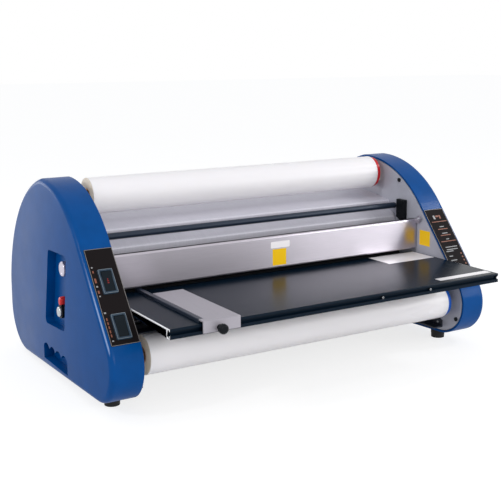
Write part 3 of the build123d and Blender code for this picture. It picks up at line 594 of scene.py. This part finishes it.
# Painted highlights on the edges of the switch bezels, light rings that stand in for the gloss of
# their bevels, and a mark on the upper rocker
left = panels["left"]
above_panel = 40
rim_offset = 12.3
bezel_size = (26.5, 46.5)
bezel_highlight_width = 0.75
bezel_radius = 1.8
rocker_mark = [(0, 0, 3.2, 1.8), (0, -3.4, 3.2, 1.8), (0, 3.4, 1.6, 2.4)]
mesh = bmesh.new()
for rocker, body in (("motor_rocker", "motor_switch"), ("power_rocker", "power_switch")):
    from_middle = (middle(rocker) - left.origin) * 1000
    across, along = from_middle.dot(left.across), from_middle.dot(left.along)
    if rocker == "motor_rocker":
        top, normal = surface_point(rocker, left.at(across, along, above_panel), -left.normal)
        rocker_face = Flat(top, left.across, normal.cross(left.across))
        rows = [(*row, mark_radius) for row in rocker_mark]
        patches("motor_rocker_mark", rocker_face, "print_red", rows, body)
    start = left.at(across - rim_offset, along, above_panel)
    rim_top, _ = surface_point("switch_bodies", start, -left.normal)
    rim = Flat(rim_top, left.across, left.along)
    rim.ring(mesh, (rim_offset, 0), bezel_size, bezel_highlight_width, bezel_radius)
piece_from(mesh, "bezel_edges", "bezel_line", "frame")

# Plain patches on the shield, on the right plate and on the tray
shield_front, _ = surface_point("heat_shield", mm(0, -300, 220), backwards)
shield_face = Flat(Vector((0, shield_front.y, 0)), rightwards, upwards)
white_row = (6.0, 238.8, 45.0, 13.0, 2.0)
yellow_row = (4.0, 213.4, 32.5, 33.0, 1.0)
foil = 0.08
patches("shield_patch_white", shield_face, "label_white", [white_row], "shield", foil)
patches("shield_patch_yellow", shield_face, "label_yellow", [yellow_row], "shield", foil)

plate_inner = 365.0
plate_face = Flat(mm(plate_inner, 0, 0), -backwards, upwards)
patches("plate_patch_yellow", plate_face, "label_yellow", [(89.5, 217.2, 33.5, 33.0, 1.0)])

tray_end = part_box("feed_tray")[1]
tray_face = Flat(Vector((0, 0, tray_end.z)), rightwards, backwards)
tray_rows = [(298.0, -92.0, 124.0, 70.0, 1.5), (291.5, -286.5, 134.0, 17.0, 1.0)]
patches("tray_patches", tray_face, "label_white", tray_rows)

# Bare cut ends of the tray and its grooved rail: one outline, as (y, z)
sheet_top, sheet_under = 182.4, 179.4
sheet_back, rail_back, rail_front, rail_bottom = -53.5, -297.1, -309.2, 165.1
groove_back, lip_back, lip_front = -301.5, -306.5, -309.4
groove_top, slot_top, slot_bottom, groove_bottom = 180.0, 178.1, 170.9, 169.0
section = [
    (sheet_back, sheet_top),
    (rail_front, sheet_top),
    (lip_front, slot_top),
    (lip_back, slot_top),
    (lip_back, groove_top),
    (groove_back, groove_top),
    (groove_back, groove_bottom),
    (lip_back, groove_bottom),
    (lip_back, slot_bottom),
    (lip_front, slot_bottom),
    (rail_front, rail_bottom),
    (rail_back, rail_bottom),
    (rail_back, sheet_under),
    (sheet_back, sheet_under),
]
cut_thickness = 0.15
mesh = bmesh.new()
for side in (-1, 1):
    outline = [mm(side * tray_end.x * 1000, y, z) for y, z in section]
    prism(mesh, outline, mm(side * cut_thickness, 0, 0))
big_faces = [face for face in mesh.faces if len(face.verts) > 4]
bmesh.ops.triangulate(mesh, faces=big_faces, ngon_method="EAR_CLIP")
piece_from(mesh, "tray_cut_ends", "cut_edge", "frame")

# Screws that show, and the lip under the rear panel
groove_middle = 173.0
groove_places = [mm(x, groove_back, groove_middle) for x in (73.5, 188.5)]
screws("groove_screws", groove_places, -backwards, radius=2.5, height=5.5)
shield_end, shield_axis_y, shield_axis_z = 358.4, -74.0, 258.5
for side, sign in (("right", 1), ("left", -1)):
    places = [mm(sign * shield_end, shield_axis_y, shield_axis_z)]
    inwards = -sign * rightwards
    screws(f"shield_screw_{side}", places, inwards, radius=2.3, height=1.0, look="bright_steel")
bracket_face = 362
bracket_spots = ((-140, 42.5), (-78, 48))
for side, sign in (("right", 1), ("left", -1)):
    places = [mm(sign * bracket_face, y, z) for y, z in bracket_spots]
    screws(f"bracket_screws_{side}", places, -sign * rightwards, radius=2.6, height=1.4)
lip_half_length = 350
lip_section = ((237.6, 28.2), (243.6, 29.4), (243.6, 31.6), (237.6, 30.8))
mesh = bmesh.new()
prism(mesh, [mm(-lip_half_length, y, z) for y, z in lip_section], mm(2 * lip_half_length, 0, 0))
piece_from(mesh, "rear_panel_lip", "motor_grey", "frame")
rear_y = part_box("rear_panel")[1].y * 1000
rear_places = [mm(x, rear_y, z) for x in (-350, -180, 180, 350) for z in (88, 150)]
screws("rear_panel_screws", rear_places, backwards, radius=3.6, height=2.0)


# The ribbed knob and the lever's grip in the window
def ribbed_knob():
    """A turned knob with ribs round its rim, on its stem."""
    low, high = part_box("tension_knob")
    centre = middle("tension_knob") * 1000
    face, stem_end = low.x * 1000, high.x * 1000
    rim_radius, rim_base, rib_depth, stem_radius = 14.2, 13.6, 0.7, 4.0
    rib_count = 28
    sides = 4 * rib_count
    # Place along the axis, radius, and whether the rim is ribbed there
    profile = [
        (face + 0.5, 8.0, False),
        (face + 0.1, 8.6, False),
        (face, 12.4, False),
        (face + 1.1, rim_base, False),
        (face + 1.7, rim_base, False),
        (face + 2.0, rim_radius, True),
        (face + 9.2, rim_radius, True),
        (face + 9.5, rim_base, False),
        (face + 11.5, 13.4, False),
        (face + 11.5, stem_radius, False),
        (stem_end - 0.5, stem_radius, False),
        (stem_end, stem_radius - 0.5, False),
    ]
    mesh = bmesh.new()
    loops = []
    for x, radius, ribbed in profile:
        loop = []
        for i in range(sides):
            turn = 2 * math.pi * i / sides
            reach = radius - (rib_depth if ribbed and i % 4 > 1 else 0)
            y = centre.y + reach * math.cos(turn)
            z = centre.z + reach * math.sin(turn)
            loop.append(mesh.verts.new(mm(x, y, z)))
        loops.append(loop)
    bridge(mesh, loops)
    return piece_from(mesh, "tension_knob_ribbed", "knob_metal", "tension")


def soft_grip():
    """A moulded grip whose outer edge slopes away, smooth but for its two ends."""
    low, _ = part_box("lever_grip")
    face, bottom = low.x * 1000, low.z * 1000
    middle_y = middle("lever_grip").y * 1000
    sides = 24
    squareness = 0.6
    # Depth from the outer face, half the width, and the lower and upper edge above the bottom
    stations = [
        (0.1, 3.2, 1.4, 8.4),
        (0.7, 5.2, 0.5, 11.6),
        (2.5, 6.9, 0.0, 14.8),
        (7.5, 7.3, 0.0, 15.6),
        (10.5, 7.2, 0.0, 15.8),
        (11.3, 6.4, 0.5, 15.2),
    ]
    mesh = bmesh.new()
    loops = []
    for depth, half_width, lower, upper in stations:
        loop = []
        for i in range(sides):
            turn = 2 * math.pi * i / sides
            c, s = math.cos(turn), math.sin(turn)
            across = math.copysign(abs(c) ** squareness, c) * half_width
            rise = math.copysign(abs(s) ** squareness, s) * (upper - lower) / 2
            z = bottom + (lower + upper) / 2 + rise
            loop.append(mesh.verts.new(mm(face + depth, middle_y + across, z)))
        loops.append(loop)
    bridge(mesh, loops)
    grip = piece_from(mesh, "lever_grip_moulded", "grip_red", "lever")
    polygons = grip.data.polygons
    polygons.foreach_set("use_smooth", [len(face.vertices) == 4 for face in polygons])
    return grip


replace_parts(ribbed_knob(), "tension_knob")
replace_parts(soft_grip(), "lever_grip")


# Floor, surround, lamps and camera
def camera_sees(tree, seen, otherwise):
    """Picks one shader for what the camera, gloss and glass see, and another for the light."""
    path = add(tree, "LightPath")
    looked_at = path.outputs["Is Camera Ray"]
    for kind in ("Is Glossy Ray", "Is Transmission Ray"):
        looked_at = number_math(tree, "MAXIMUM", looked_at, path.outputs[kind])
    return add(tree, "MixShader", {0: looked_at, 1: otherwise, 2: seen}).outputs[0]


def grey(value):
    """A grey of a linear value."""
    return (value, value, value, 1)


def studio_floor():
    """A white floor that keeps a soft shadow."""
    bounce, shaded, glow = 0.82, 0.36, 0.76
    floor_size, gap_under_feet = 40, 0.0005
    bpy.ops.mesh.primitive_plane_add(size=floor_size, location=(0, 0, -gap_under_feet))
    floor = bpy.context.active_object
    floor.name = "studio_floor"
    mat = bpy.data.materials.new("studio_floor")
    mat.use_nodes = True
    tree = mat.node_tree
    tree.nodes.clear()
    giving = add(tree, "BsdfDiffuse", {"Color": grey(bounce)}).outputs[0]
    shadowed = add(tree, "BsdfDiffuse", {"Color": grey(shaded)}).outputs[0]
    shining = add(tree, "Emission", {"Color": grey(1), "Strength": glow}).outputs[0]
    seen = add(tree, "AddShader", {0: shadowed, 1: shining}).outputs[0]
    add(tree, "OutputMaterial", {"Surface": camera_sees(tree, seen, giving)})
    floor.data.materials.append(mat)


def surround():
    """A white surround, which gives less light than it shows."""
    fill_colour, fill_strength = (0.95, 0.97, 1.0, 1), 0.64
    world = bpy.data.worlds.new("studio")
    bpy.context.scene.world = world
    world.use_nodes = True
    tree = world.node_tree
    tree.nodes.clear()
    seen = add(tree, "Background", {"Color": grey(1)}).outputs[0]
    inputs = {"Color": fill_colour, "Strength": fill_strength}
    fill = add(tree, "Background", inputs).outputs[0]
    add(tree, "OutputWorld", {"Surface": camera_sees(tree, seen, fill)})


def area_lamp(name, place, target, size, power):
    """A soft lamp that looks at a target."""
    data = bpy.data.lights.new(name, "AREA")
    data.shape = "RECTANGLE"
    data.size, data.size_y = size
    data.energy = power
    lamp = bpy.data.objects.new(name, data)
    bpy.context.scene.collection.objects.link(lamp)
    lamp.location = place
    aim = Vector(target) - Vector(place)
    lamp.rotation_euler = aim.to_track_quat("-Z", "Y").to_euler()
    lamp.visible_camera = False


def camera():
    """The photograph's viewpoint."""
    pan, tilt, roll = -0.54336, -0.142095, -0.006244
    data = bpy.data.cameras.new("photo_camera")
    data.sensor_width = 36.0
    data.lens = 67.617
    data.shift_y = -0.11976
    view = bpy.data.objects.new("photo_camera", data)
    bpy.context.scene.collection.objects.link(view)
    view.matrix_world = (
        Matrix.Translation((-1.00326, -1.62088, 0.61354))
        @ Matrix.Rotation(pan, 4, "Z")
        @ Matrix.Rotation(math.pi / 2 + tilt, 4, "X")
        @ Matrix.Rotation(roll, 4, "Z")
    )
    bpy.context.scene.camera = view


studio_floor()
surround()
# Each lamp's name, place, target, size and power
area_lamp("key_light", (2.5, -2.5, 1.1), (0, 0, 0.2), (1.5, 1.1), 30)
area_lamp("front_light", (-0.5, -3.0, 1.0), (0, 0, 0.2), (1.2, 0.8), 22)
area_lamp("right_light", (1.77, -0.82, 1.60), (0.41, -0.08, 0.28), (0.30, 0.26), 6.4)
area_lamp("side_light", (-1.3, 2.2, 0.6), (-0.4, 0.2, 0.15), (1.0, 0.8), 9)
area_lamp("left_light", (-2.27, -0.22, 1.34), (-0.3, 0, 0.2), (0.16, 0.36), 11)
camera()
bpy.context.scene.view_settings.view_transform = "Standard"
